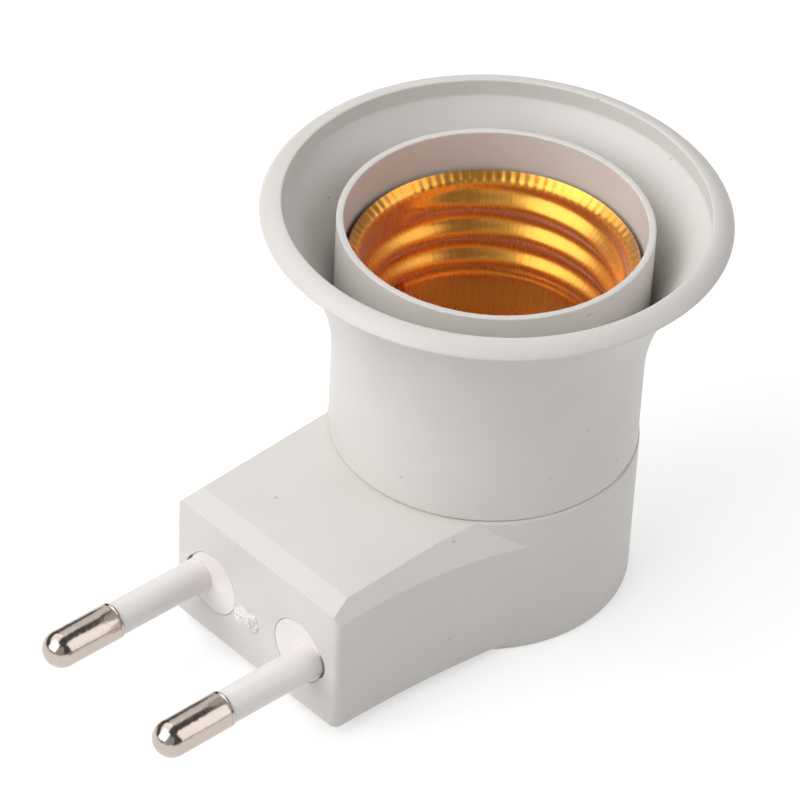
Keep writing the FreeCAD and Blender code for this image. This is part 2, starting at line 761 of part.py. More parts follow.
def solder(label, place, level):
    """A small cone of solder round the lead's end, against the lug."""
    body = new_body(label)
    turn(body, "solder", [
        ("lead_radius", level + " - solder_height"),
        ("solder_radius - rivet_clearance - rivet_clearance", level + " - solder_height"),
        ("solder_radius", level),
        ("lead_radius", level),
    ])
    body.Placement = at(place.x, place.y, 0)


live_level = SHELF + " - lug_thick"
live_end = contact_place + Vector(number("lug_joint"), 0, 0)
neutral_level = SHELF + " - shelf_floor - lug_thick"
neutral_end = lug_place - Vector(number("lug_joint"), 0, 0)
lead_start = -number("block_front") - number(LEAD_START)
pin_line = number("pin_spacing/2")
pin_height = number("pin_height")
bend_place = -number("lead_bend_place")
lead("live_lead", [
    Vector(lead_start, pin_line, pin_height),
    Vector(bend_place, pin_line, pin_height),
    Vector(live_end.x, live_end.y + number("live_lead_swing"), pin_height + number("live_lead_rise")),
    Vector(live_end.x, live_end.y, pin_height + number("live_lead_turn")),
    Vector(live_end.x, live_end.y, number(live_level)),
])
lead("neutral_lead", [
    Vector(lead_start, -pin_line, pin_height),
    Vector(bend_place, -pin_line, pin_height),
    Vector(neutral_end.x, neutral_end.y, pin_height + number("neutral_lead_rise")),
    Vector(neutral_end.x, neutral_end.y, number(neutral_level)),
])
solder("live_solder", live_end, live_level)
solder("neutral_solder", neutral_end, neutral_level)

# Every feature is checked before anything is written

doc.recompute()
for item in doc.Objects:
    if "Invalid" in item.State or "Error" in item.State:
        raise RuntimeError("%s failed: %s" % (item.Name, item.State))
pieces = [item for item in doc.Objects if item.TypeId in ("PartDesign::Body", "Part::Feature")]
for piece in pieces:
    if piece.Shape.isNull() or not piece.Shape.isValid() or len(piece.Shape.Solids) != 1:
        raise RuntimeError("%s has no valid single solid" % piece.Label)
os.makedirs("parts", exist_ok=True)
for piece in pieces:
    piece.Shape.exportStep("parts/%s.step" % piece.Label)
    print("%-20s %9.2f mm3" % (piece.Label, piece.Shape.Volume))
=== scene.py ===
# A plug-in lamp holder: a moulded body with two round mains pins and a screw socket for a bulb.
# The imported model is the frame. Sizes here are in millimetres, and MM turns them to metres.

import math

import bpy
from mathutils import Matrix, Vector, noise


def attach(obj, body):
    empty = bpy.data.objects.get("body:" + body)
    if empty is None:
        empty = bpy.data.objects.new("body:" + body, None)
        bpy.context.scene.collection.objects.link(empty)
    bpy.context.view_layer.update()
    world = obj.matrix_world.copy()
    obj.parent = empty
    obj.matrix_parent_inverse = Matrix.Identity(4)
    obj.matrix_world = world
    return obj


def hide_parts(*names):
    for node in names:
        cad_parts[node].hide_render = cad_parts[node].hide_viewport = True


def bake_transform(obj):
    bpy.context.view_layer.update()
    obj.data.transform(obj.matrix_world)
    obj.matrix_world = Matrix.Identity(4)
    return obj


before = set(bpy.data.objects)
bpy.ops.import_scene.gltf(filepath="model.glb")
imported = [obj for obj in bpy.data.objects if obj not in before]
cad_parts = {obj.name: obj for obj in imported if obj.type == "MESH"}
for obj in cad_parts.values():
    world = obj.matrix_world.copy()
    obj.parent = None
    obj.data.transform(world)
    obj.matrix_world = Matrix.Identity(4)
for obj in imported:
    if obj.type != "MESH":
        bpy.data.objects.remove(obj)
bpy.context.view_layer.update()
MM = 0.001

# The camera looks down on the pins from the front left through a long lens, as in the photograph.

CAMERA_PLACE = (-0.278044, -0.275457, 0.332329)
CAMERA_TURN = math.radians(-44.001)
CAMERA_RISE = math.radians(38.637)
CAMERA_TILT = math.radians(2.986)
lens = bpy.data.cameras.new("long_lens")
lens.lens = 220.24
lens.sensor_width = 36
lens.clip_start = 0.02
lens.clip_end = 20
camera = bpy.data.objects.new("camera", lens)
bpy.context.scene.collection.objects.link(camera)
camera.matrix_world = (
    Matrix.Translation(CAMERA_PLACE)
    @ Matrix.Rotation(CAMERA_TURN, 4, "Z")
    @ Matrix.Rotation(math.pi / 2 - CAMERA_RISE, 4, "X")
    @ Matrix.Rotation(CAMERA_TILT, 4, "Z")
)
bpy.context.scene.camera = camera

# The floor is one large sheet of matt pale paper. It keeps the soft shadow under the plug, and a glow
# that only the camera and mirroring surfaces see brings it up to the white of the photograph.


def linear(colour):
    """A colour written as sRGB hex, as the shader wants it."""
    parts = [int(colour[i : i + 2], 16) / 255 for i in (1, 3, 5)]
    return tuple(p / 12.92 if p <= 0.04045 else ((p + 0.055) / 1.055) ** 2.4 for p in parts) + (1.0,)


def new_material(name):
    """A material with its Principled shader, and the Object coordinates that its patterns follow."""
    material = bpy.data.materials.new(name)
    material.use_nodes = True
    shader = material.node_tree.nodes["Principled BSDF"]
    place = material.node_tree.nodes.new("ShaderNodeTexCoord").outputs["Object"]
    return material, shader, place


def add_node(owner, kind, settings=None, links=None):
    """Adds a node, sets its properties or sockets by name or number, and links its sockets."""
    node = owner.node_tree.nodes.new(kind)
    for name, value in (settings or {}).items():
        if isinstance(name, str) and name not in node.inputs:
            setattr(node, name, value)
        else:
            node.inputs[name].default_value = value
    for name, source in (links or {}).items():
        owner.node_tree.links.new(source, node.inputs[name])
    return node


FLOOR_SIZE = 6
FLOOR_GLOW = 0.50
bpy.ops.object.select_all(action="DESELECT")
bpy.ops.mesh.primitive_plane_add(size=FLOOR_SIZE, location=(0, 0, 0))
floor = bpy.context.object
floor.name = "paper_floor"
paper, paper_shader, paper_place = new_material("matt_pale_paper")
paper_shader.inputs["Roughness"].default_value = 0.9
paper_shader.inputs["Specular IOR Level"].default_value = 0.0
paper_shader.inputs["Emission Color"].default_value = (1, 1, 1, 1)
pulp = add_node(paper, "ShaderNodeTexNoise", {"Scale": 1 / 0.004, "Detail": 4.0}, {"Vector": paper_place})
felt = add_node(
    paper,
    "ShaderNodeMix",
    {"data_type": "RGBA", 6: linear("#DADADA"), 7: linear("#DEDEDE")},
    {0: pulp.outputs[0]},
)
paper.node_tree.links.new(felt.outputs[2], paper_shader.inputs["Base Color"])
rays = add_node(paper, "ShaderNodeLightPath")
mirrored = add_node(
    paper,
    "ShaderNodeMath",
    {"operation": "MAXIMUM"},
    {0: rays.outputs["Is Camera Ray"], 1: rays.outputs["Is Glossy Ray"]},
)
seen = add_node(
    paper,
    "ShaderNodeMath",
    {"operation": "MAXIMUM"},
    {0: mirrored.outputs[0], 1: rays.outputs["Is Transmission Ray"]},
)
glow = add_node(paper, "ShaderNodeMath", {"operation": "MULTIPLY", 1: FLOOR_GLOW}, {0: seen.outputs[0]})
paper.node_tree.links.new(glow.outputs[0], paper_shader.inputs["Emission Strength"])
floor.data.materials.append(paper)

# The light is a plain studio: dim walls all round, a window on the left, a high one behind, one on the
# right, a faint card in front, and a narrow strip at the back that draws the upper edge of the pins.

studio = bpy.data.worlds.new("dim_plain_walls")
bpy.context.scene.world = studio
studio.use_nodes = True
walls = studio.node_tree.nodes["Background"]
walls.inputs["Color"].default_value = (1, 1, 1, 1)
walls.inputs["Strength"].default_value = 0.09


LIT_POINT = Vector((0, 0, 0.02))


def add_lamp(name, place, size, power):
    """A soft lamp of this size at place, turned to the plug."""
    lamp = bpy.data.lights.new(name, "AREA")
    lamp.shape = "RECTANGLE"
    lamp.size, lamp.size_y = size
    lamp.energy = power
    stand = bpy.data.objects.new(name, lamp)
    bpy.context.scene.collection.objects.link(stand)
    stand.location = place
    stand.rotation_euler = (LIT_POINT - Vector(place)).to_track_quat("-Z", "Y").to_euler()


add_lamp("window_left", (-0.74, 0.17, 0.58), (0.9, 1.0), 6.9)
add_lamp("window_high", (-0.14, 0.62, 0.92), (1.1, 1.0), 4.9)
add_lamp("window_right", (0.47, -0.61, 0.46), (0.6, 0.9), 2.7)
add_lamp("pale_card_front", (-0.70, -0.50, 0.42), (0.9, 0.8), 0.8)
add_lamp("strip_back", (0.56, 0.65, 0.59), (0.4, 1.4), 1.5)

# The upper moulding is one turned shape: a thin collar inside a flared skirt. It is injection-moulded
# in white ABS, and its spigot clicks into the cup below, which leaves the thin dark seam.


def arc(centre, radius, first, last, steps):
    """Points on an arc in the plane of radius and height, from one angle to another in degrees."""
    points = []
    for step in range(steps + 1):
        angle = math.radians(first + (last - first) * step / steps)
        points.append((centre[0] + radius * math.cos(angle), centre[1] + radius * math.sin(angle)))
    return points


def turned(name, profile, sides, closed=True):
    """Draws a ring of the first radius and height, then extrudes it to each of the others in turn."""
    bpy.ops.object.select_all(action="DESELECT")
    first_radius, first_height = profile[0]
    bpy.ops.mesh.primitive_circle_add(
        vertices=sides, radius=first_radius * MM, location=(0, 0, first_height * MM)
    )
    piece = bpy.context.object
    piece.name = name
    bpy.ops.object.mode_set(mode="EDIT")
    for (radius, height), (next_radius, next_height) in zip(profile, profile[1:]):
        rise = (next_height - height) * MM
        share = next_radius / radius
        bpy.ops.mesh.extrude_region_move(TRANSFORM_OT_translate={"value": (0, 0, rise)})
        bpy.ops.transform.resize(value=(share, share, 1), center_override=(0, 0, 0))
    if closed:
        bpy.ops.mesh.select_all(action="DESELECT")
        bpy.ops.mesh.select_non_manifold()
        bpy.ops.mesh.bridge_edge_loops()
    bpy.ops.mesh.select_all(action="SELECT")
    bpy.ops.mesh.remove_doubles(threshold=0.000001)
    bpy.ops.mesh.normals_make_consistent(inside=False)
    bpy.ops.object.mode_set(mode="OBJECT")
    bpy.ops.object.transform_apply(location=True)
    return piece


def soften(piece, width, crease=30):
    """Rounds every edge sharper than crease degrees by width in millimetres, and shades the rest smooth."""
    bpy.ops.object.select_all(action="DESELECT")
    piece.select_set(True)
    bpy.context.view_layer.objects.active = piece
    bevel = piece.modifiers.new("edge_round", "BEVEL")
    bevel.width = width * MM
    bevel.segments = 3
    bevel.limit_method = "ANGLE"
    bevel.angle_limit = math.radians(crease)
    bpy.ops.object.modifier_apply(modifier="edge_round")
    bpy.ops.object.shade_smooth_by_angle(angle=math.radians(crease + 10))
    weigh = piece.modifiers.new("flat_faces", "WEIGHTED_NORMAL")
    weigh.keep_sharp = True
    bpy.ops.object.modifier_apply(modifier="flat_faces")


FLARE_CENTRE = (39.99, 26.2)
FLARE_OUTER = 24.04
FLARE_INNER = 25.157
LIP_CENTRE = (21.673, 42.616)
LIP_ROUND = 2.4
skirt_profile = (
    [(8.0, 14.6), (13.35, 14.6), (13.35, 13.2), (14.2, 13.2), (14.45, 13.45), (14.45, 14.35)]
    + [(14.7, 14.6), (14.45, 14.85), (14.45, 17.2), (15.75, 17.2), (15.95, 17.4), (15.95, 21.0)]
    + arc(FLARE_CENTRE, FLARE_OUTER, 180, 133.8, 40)
    + arc(LIP_CENTRE, LIP_ROUND, 32.4, 96.5, 12)
    + arc(FLARE_CENTRE, FLARE_INNER, 137.6, 162.87, 30)
    + [(15.95, 42.9), (15.2, 42.9), (15.2, 36.0), (15.2, 18.4), (13.35, 18.4), (13.35, 16.2), (8.0, 16.2)]
)
skirt = turned("flared_skirt", skirt_profile, sides=256)
soften(skirt, 0.16)

# The collar's top edge is a little ragged, as it came off the mould's parting line.

RAGGED_ABOVE = 42.6
RAGGED_WITHIN = 16.1
RAGGED_LENGTH = 1.1
RAGGED_DEPTH = 0.05
for vertex in skirt.data.vertices:
    reach = math.hypot(vertex.co.x, vertex.co.y) / MM
    if vertex.co.z > RAGGED_ABOVE * MM and reach < RAGGED_WITHIN:
        ragged = noise.noise(Vector((vertex.co.x, vertex.co.y, 0)) / (RAGGED_LENGTH * MM))
        vertex.co.z += ragged * RAGGED_DEPTH * MM

# White ABS straight from the mould: a satin skin with a very fine grain that spreads the highlights,
# faint sink and flow in the thick parts, light that goes a little way in, and a few tiny dark specks.
# The specks are drawn about half a millimetre across, coarser than most real ones, so that some show.

white_abs, abs_shader, abs_place = new_material("white_abs_moulded_satin")
grain = add_node(
    white_abs, "ShaderNodeTexNoise", {"Scale": 1 / 0.0003, "Detail": 3.0}, {"Vector": abs_place}
)
flow = add_node(white_abs, "ShaderNodeTexNoise", {"Scale": 1 / 0.009, "Detail": 2.0}, {"Vector": abs_place})
tone = add_node(
    white_abs,
    "ShaderNodeMix",
    {"data_type": "RGBA", 6: linear("#DCD8D4"), 7: linear("#E4E0DC")},
    {0: flow.outputs[0]},
)
wander = add_node(
    white_abs, "ShaderNodeTexNoise", {"Scale": 1 / 0.0007, "Detail": 2.0}, {"Vector": abs_place}
)
wobble = add_node(
    white_abs, "ShaderNodeVectorMath", {"operation": "SCALE", "Scale": 0.0005}, {0: wander.outputs["Color"]}
)
flattened = add_node(white_abs, "ShaderNodeMapping", {"Scale": (1.0, 1.0, 2.2)}, {"Vector": abs_place})
uneven = add_node(
    white_abs,
    "ShaderNodeVectorMath",
    {"operation": "ADD"},
    {0: flattened.outputs[0], 1: wobble.outputs[0]},
)
cells = add_node(white_abs, "ShaderNodeTexVoronoi", {"Scale": 1 / 0.0045}, {"Vector": uneven.outputs[0]})
near_speck = add_node(
    white_abs, "ShaderNodeMapRange", {1: 0.035, 2: 0.07, 3: 1.0, 4: 0.0}, {0: cells.outputs["Distance"]}
)
lot = add_node(white_abs, "ShaderNodeSeparateColor", None, {0: cells.outputs["Color"]})
drawn_lot = add_node(
    white_abs, "ShaderNodeMath", {"operation": "GREATER_THAN", 1: 0.4}, {0: lot.outputs[0]}
)
speck = add_node(
    white_abs,
    "ShaderNodeMath",
    {"operation": "MULTIPLY"},
    {0: near_speck.outputs[0], 1: drawn_lot.outputs[0]},
)
faint = add_node(white_abs, "ShaderNodeMath", {"operation": "MULTIPLY", 1: 0.5}, {0: speck.outputs[0]})
specked = add_node(
    white_abs,
    "ShaderNodeMix",
    {"data_type": "RGBA", 7: linear("#9C948C")},
    {0: faint.outputs[0], 6: tone.outputs[2]},
)
white_abs.node_tree.links.new(specked.outputs[2], abs_shader.inputs["Base Color"])
satin = add_node(white_abs, "ShaderNodeMapRange", {3: 0.36, 4: 0.48}, {0: grain.outputs[0]})
white_abs.node_tree.links.new(satin.outputs[0], abs_shader.inputs["Roughness"])
skin = add_node(
    white_abs, "ShaderNodeBump", {"Strength": 0.25, "Distance": 0.00002}, {"Height": grain.outputs[0]}
)
sink = add_node(
    white_abs,
    "ShaderNodeBump",
    {"Strength": 0.3, "Distance": 0.0001},
    {"Height": flow.outputs[0], "Normal": skin.outputs[0]},
)
white_abs.node_tree.links.new(sink.outputs[0], abs_shader.inputs["Normal"])
abs_shader.inputs["IOR"].default_value = 1.54
abs_shader.inputs["Subsurface Weight"].default_value = 0.08
abs_shader.inputs["Subsurface Radius"].default_value = (1.0, 0.8, 0.6)
abs_shader.inputs["Subsurface Scale"].default_value = 0.0008
skirt.data.materials.append(white_abs)
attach(skirt, "holder")
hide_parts("upper_skirt")

# The lower moulding: a round cup with a plug block grown out of its side, in the same white ABS.
# Two deep round seats in the front take the discs that carry the pins.


def own_copy(node, name):
    """A merged copy of a CAD node's mesh, ready for editing."""
    bpy.ops.object.select_all(action="DESELECT")
    piece = bpy.data.objects.new(name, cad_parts[node].data.copy())
    bpy.context.scene.collection.objects.link(piece)
    piece.data.materials.clear()
    piece.select_set(True)
    bpy.context.view_layer.objects.active = piece
    bpy.ops.object.mode_set(mode="EDIT")
    bpy.ops.mesh.select_all(action="SELECT")
    bpy.ops.mesh.remove_doubles(threshold=0.000002)
    bpy.ops.mesh.dissolve_limited(angle_limit=math.radians(0.3))
    bpy.ops.object.mode_set(mode="OBJECT")
    return piece


housing = own_copy("lower_housing", "cup_and_plug_block")
soften(housing, 0.26, crease=16)
housing.data.materials.append(white_abs)
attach(housing, "holder")
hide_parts("lower_housing")

# The stub of the mould's gate, twisted off by hand between the two pins: a low, torn, whitened lump.

GATE_PLACE = (-30.74, 1.15, 6.8)
GATE_RADIUS = 1.75
GATE_FLATTENED = (0.24, 1.0, 0.78)
GATE_BULGE = 0.38
TORN_LUMP = 0.75
TORN_SHRED = 0.22
bpy.ops.object.select_all(action="DESELECT")
bpy.ops.mesh.primitive_ico_sphere_add(
    subdivisions=6,
    radius=GATE_RADIUS * MM,
    location=[size * MM for size in GATE_PLACE],
    scale=GATE_FLATTENED,
)
gate = bpy.context.object
gate.name = "gate_stub"
bpy.ops.object.transform_apply(location=True, scale=True)
middle = Vector(GATE_PLACE) * MM
for vertex in gate.data.vertices:
    spoke = vertex.co - middle
    coarse = noise.noise(vertex.co / (TORN_LUMP * MM))
    fine = noise.noise(vertex.co / (TORN_SHRED * MM))
    grow = 1.0 + 0.16 * coarse + 0.12 * fine
    vertex.co.y = middle.y + spoke.y * grow
    vertex.co.z = middle.z + spoke.z * grow
    vertex.co.x -= max(0.0, -spoke.x / (GATE_BULGE * MM)) * (0.2 * coarse + 0.3 * abs(fine)) * MM
bpy.ops.object.shade_smooth_by_angle(angle=math.radians(50))

# ABS that was torn goes whiter and rough, so the stub scatters light where the skin around it shines.

torn_abs, torn_shader, torn_place = new_material("white_abs_torn")
tear = add_node(
    torn_abs, "ShaderNodeTexNoise", {"Scale": 1 / 0.0004, "Detail": 4.0}, {"Vector": torn_place}
)
whiter = add_node(
    torn_abs,
    "ShaderNodeMix",
    {"data_type": "RGBA", 6: linear("#DCD7D2"), 7: linear("#FCFAF8")},
    {0: tear.outputs[0]},
)
torn_abs.node_tree.links.new(whiter.outputs[2], torn_shader.inputs["Base Color"])
harsh = add_node(torn_abs, "ShaderNodeMapRange", {3: 0.30, 4: 0.62}, {0: tear.outputs[0]})
torn_abs.node_tree.links.new(harsh.outputs[0], torn_shader.inputs["Roughness"])
torn = add_node(
    torn_abs, "ShaderNodeBump", {"Strength": 0.7, "Distance": 0.00008}, {"Height": tear.outputs[0]}
)
torn_abs.node_tree.links.new(torn.outputs[0], torn_shader.inputs["Normal"])
torn_shader.inputs["IOR"].default_value = 1.54
gate.data.materials.append(torn_abs)
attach(gate, "holder")

# The screw shell is drawn from thin brass sheet, its thread is rolled in, and it is lacquered gold.
# The thread is one true right-hand helix: it starts under the mouth and runs out above the plain wall.

THREAD_PITCH = 3.629
RIDGE_HEIGHT = 35.55
RIDGE_START = 92.0
RIDGE_TURN = 53.0
RIDGE_GROWS_OVER = 0.09
RIDGE_DEPTH = 1.05
RUNOUT_LENGTH = 1.45
RUNOUT_SWELL = 0.24
LAND_DRAWN_IN = 0.1
NECK_RADIUS = 13.45
THREADED = (26.0, 37.5)
MOUTH_TOP = 38.8
NOTCHES = 90
NOTCH_DEPTH = 0.08
SHEET = 0.4
shell_profile = [(14.5, 38.7), (14.32, 38.56), (14.1, 38.38), (13.85, 38.18), (13.66, 38.0), (13.54, 37.8)]
shell_profile += [(13.47, 37.6)] + [(13.45, 37.45 - 0.16 * step) for step in range(70)]
shell_profile += [(12.3, 25.0), (12.3, 24.0), (12.1, 19.8)]
shell_profile += arc((11.3, 19.8), 0.8, 0, -90, 5)[1:] + [(8.0, 19.0)]


def shell_wall(angle, height):
    """The inner radius of the rolled wall: ridges pressed in from the neck, then the plain wall."""
    turned_by = (RIDGE_START - angle) % 360
    first = RIDGE_HEIGHT + THREAD_PITCH * (RIDGE_START - RIDGE_TURN - turned_by) / 360
    last = first - 2 * THREAD_PITCH
    pressed = 0.0
    for ridge in range(3):
        away = abs(height - first + THREAD_PITCH * ridge) / THREAD_PITCH
        if away < 0.5:
            grown = min(1.0, (turned_by / 360 + ridge) / RIDGE_GROWS_OVER)
            pressed += RIDGE_DEPTH * grown * 0.5 * (1 + math.cos(2 * math.pi * away))
    if height < last:
        drop = (last - height) / RUNOUT_LENGTH
        swell = RUNOUT_SWELL * 0.5 * (1 - math.cos(2 * math.pi * min(1.0, drop**1.4)))
        return NECK_RADIUS - RIDGE_DEPTH + swell - LAND_DRAWN_IN * min(1.0, drop)
    return NECK_RADIUS - pressed


shell = turned("threaded_shell", shell_profile, sides=540, closed=False)
for vertex in shell.data.vertices:
    angle = math.degrees(math.atan2(vertex.co.y, vertex.co.x))
    height = vertex.co.z / MM
    radius = math.hypot(vertex.co.x, vertex.co.y) / MM
    if THREADED[0] < height < THREADED[1]:
        wanted = shell_wall(angle, height)
    elif height >= THREADED[1]:
        notch = 0.5 + 0.5 * math.cos(math.radians(angle * NOTCHES))
        uneven = 0.7 + 0.6 * noise.noise(Vector((vertex.co.x, vertex.co.y, 0)) / (3.0 * MM))
        wanted = radius + NOTCH_DEPTH * notch * uneven * min(1.0, (MOUTH_TOP - height) / 0.4)
    else:
        continue
    vertex.co.x *= wanted / radius
    vertex.co.y *= wanted / radius
bpy.context.view_layer.objects.active = shell
shell.select_set(True)
wall = shell.modifiers.new("sheet", "SOLIDIFY")
wall.thickness = SHEET * MM
wall.offset = 1.0
bpy.ops.object.modifier_apply(modifier="sheet")
bpy.ops.object.shade_smooth_by_angle(angle=math.radians(40))

# Deep-drawn brass under a clear gold lacquer: bright yellow where it mirrors a window, orange where it
# mirrors itself, with faint upright draw lines, half a millimetre apart, that break the highlights up.
# A thin haze on the lacquer keeps the shaded turns of the thread warm.

gold, gold_shader, gold_place = new_material("brass_drawn_gold_lacquered")
gold_shader.inputs["Metallic"].default_value = 0.80
gold_shader.inputs["Sheen Weight"].default_value = 0.35
GIRTH = 0.078
LINE_STRETCH = 0.03
turn = add_node(gold, "ShaderNodeTexGradient", {"gradient_type": "RADIAL"}, {"Vector": gold_place})
split = add_node(gold, "ShaderNodeSeparateXYZ", None, {0: gold_place})
around = add_node(gold, "ShaderNodeMath", {"operation": "MULTIPLY", 1: GIRTH}, {0: turn.outputs[1]})
along = add_node(gold, "ShaderNodeMath", {"operation": "MULTIPLY", 1: LINE_STRETCH}, {0: split.outputs[2]})
unrolled = add_node(gold, "ShaderNodeCombineXYZ", None, {0: around.outputs[0], 1: along.outputs[0]})
draw_lines = add_node(
    gold, "ShaderNodeTexNoise", {"Scale": 1 / 0.0005, "Detail": 1.0}, {"Vector": unrolled.outputs[0]}
)
bloom = add_node(gold, "ShaderNodeTexNoise", {"Scale": 1 / 0.004, "Detail": 3.0}, {"Vector": gold_place})
gilt = add_node(
    gold,
    "ShaderNodeMix",
    {"data_type": "RGBA", 6: linear("#F0A022"), 7: linear("#F8AE2C")},
    {0: bloom.outputs[0]},
)
gold.node_tree.links.new(gilt.outputs[2], gold_shader.inputs["Base Color"])
drawn = add_node(
    gold, "ShaderNodeBump", {"Strength": 0.5, "Distance": 0.00003}, {"Height": draw_lines.outputs[0]}
)
gold.node_tree.links.new(drawn.outputs[0], gold_shader.inputs["Normal"])
polish = add_node(gold, "ShaderNodeMapRange", {3: 0.23, 4: 0.32}, {0: draw_lines.outputs[0]})
gold.node_tree.links.new(polish.outputs[0], gold_shader.inputs["Roughness"])
gold_shader.inputs["Coat Weight"].default_value = 1.0
gold_shader.inputs["Coat Roughness"].default_value = 0.35
shell.data.materials.append(gold)
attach(shell, "holder")
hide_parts("screw_shell")

# The two mains pins are brass rod, turned with a round nose and a fine ring groove beside the sleeve,
# and nickel plated. Their thin stems run back through the sleeves into the block.

BLOCK_FRONT = 30.7
PIN_HALF_SPACING = 8.5
PIN_HEIGHT = 7.9


def lay_pin(piece, across, height):
    """Lays a piece that was turned upright along -X, with its zero in the block's front."""
    bpy.ops.object.select_all(action="DESELECT")
    piece.select_set(True)
    bpy.context.view_layer.objects.active = piece
    piece.rotation_euler = (0, -math.pi / 2, 0)
    piece.location = (-BLOCK_FRONT * MM, across * MM, height * MM)
    bpy.ops.object.transform_apply(location=True, rotation=True)


# Bright nickel over turned brass: warm grey, sharp highlights with slightly rough edges, and fine
# handling marks.

nickel, nickel_shader, nickel_place = new_material("brass_turned_nickel_plated")
nickel_shader.inputs["Metallic"].default_value = 1.0
marks = add_node(
    nickel, "ShaderNodeTexNoise", {"Scale": 1 / 0.0005, "Detail": 5.0}, {"Vector": nickel_place}
)
cast = add_node(nickel, "ShaderNodeTexNoise", {"Scale": 1 / 0.003, "Detail": 2.0}, {"Vector": nickel_place})
plate = add_node(
    nickel,
    "ShaderNodeMix",
    {"data_type": "RGBA", 6: linear("#BCB0A8"), 7: linear("#C6BAB1")},
    {0: cast.outputs[0]},
)
nickel.node_tree.links.new(plate.outputs[2], nickel_shader.inputs["Base Color"])
rub = add_node(nickel, "ShaderNodeMapRange", {3: 0.10, 4: 0.24}, {0: marks.outputs[0]})
nickel.node_tree.links.new(rub.outputs[0], nickel_shader.inputs["Roughness"])
wear = add_node(
    nickel, "ShaderNodeBump", {"Strength": 0.5, "Distance": 0.00005}, {"Height": marks.outputs[0]}
)
nickel.node_tree.links.new(wear.outputs[0], nickel_shader.inputs["Normal"])
pin_profile = [(0.02, -15.0), (1.3, -15.0), (1.3, 11.4), (1.86, 11.4), (1.93, 11.44), (1.96, 11.54)]
pin_profile += [(1.95, 11.64), (1.88, 11.70), (1.86, 11.76), (1.89, 11.82), (1.95, 11.88), (1.97, 11.98)]
pin_profile += [(1.97, 14.0), (1.97, 16.0)] + arc((0, 18.03), 1.97, 0, 89.5, 18)
for side, node in ((1, "live_pin"), (-1, "neutral_pin")):
    pin = turned(node.replace("pin", "plated_pin"), pin_profile, sides=96, closed=False)
    bpy.ops.object.mode_set(mode="EDIT")
    bpy.ops.mesh.select_all(action="DESELECT")
    bpy.ops.mesh.select_non_manifold()
    bpy.ops.mesh.fill_holes(sides=0)
    bpy.ops.mesh.select_all(action="SELECT")
    bpy.ops.mesh.normals_make_consistent(inside=False)
    bpy.ops.object.mode_set(mode="OBJECT")
    bpy.ops.object.shade_smooth_by_angle(angle=math.radians(45))
    lay_pin(pin, side * PIN_HALF_SPACING, PIN_HEIGHT)
    pin.data.materials.append(nickel)
    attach(pin, "holder")
    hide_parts(node)

# Each pin's sleeve and its disc are one moulding in nylon, whiter and smoother than the block. The
# disc is pressed into its round seat, and the thin gap around it shows dark.

nylon, nylon_shader, nylon_place = new_material("white_nylon_moulded_smooth")
cloud = add_node(nylon, "ShaderNodeTexNoise", {"Scale": 1 / 0.002, "Detail": 2.0}, {"Vector": nylon_place})
milk = add_node(
    nylon,
    "ShaderNodeMix",
    {"data_type": "RGBA", 6: linear("#EFE9E6"), 7: linear("#F5F0ED")},
    {0: cloud.outputs[0]},
)
nylon.node_tree.links.new(milk.outputs[2], nylon_shader.inputs["Base Color"])
gloss = add_node(nylon, "ShaderNodeMapRange", {3: 0.28, 4: 0.38}, {0: cloud.outputs[0]})
nylon.node_tree.links.new(gloss.outputs[0], nylon_shader.inputs["Roughness"])
dimple = add_node(
    nylon, "ShaderNodeBump", {"Strength": 0.2, "Distance": 0.00005}, {"Height": cloud.outputs[0]}
)
nylon.node_tree.links.new(dimple.outputs[0], nylon_shader.inputs["Normal"])
nylon_shader.inputs["IOR"].default_value = 1.53
nylon_shader.inputs["Subsurface Weight"].default_value = 0.15
nylon_shader.inputs["Subsurface Radius"].default_value = (1.0, 0.8, 0.7)
nylon_shader.inputs["Subsurface Scale"].default_value = 0.0008
for node in ("live_sleeve", "neutral_sleeve"):
    sleeve = own_copy(node, node.replace("sleeve", "pin_sleeve"))
    soften(sleeve, 0.10)
    sleeve.data.materials.append(nylon)
    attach(sleeve, "holder")
    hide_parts(node)

# The insulating base under the shell is moulded in urea, a hard heat-proof plastic: cream, matt and
# a little mottled.

urea, urea_shader, urea_place = new_material("urea_moulded_cream")
mottle = add_node(urea, "ShaderNodeTexNoise", {"Scale": 1 / 0.0012, "Detail": 4.0}, {"Vector": urea_place})
cream = add_node(
    urea,
    "ShaderNodeMix",
    {"data_type": "RGBA", 6: linear("#DCD5C6"), 7: linear("#E8E2D6")},
    {0: mottle.outputs[0]},
)
urea.node_tree.links.new(cream.outputs[2], urea_shader.inputs["Base Color"])
matt = add_node(urea, "ShaderNodeMapRange", {3: 0.50, 4: 0.68}, {0: mottle.outputs[0]})
urea.node_tree.links.new(matt.outputs[0], urea_shader.inputs["Roughness"])
base = own_copy("insulating_base", "urea_base")
soften(base, 0.10)
base.data.materials.append(urea)
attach(base, "holder")
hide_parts("insulating_base")

# Rivets and solder lugs are plain brass, headed and stamped: pale yellow, half bright, with the marks
# of the tools and a little tarnish.

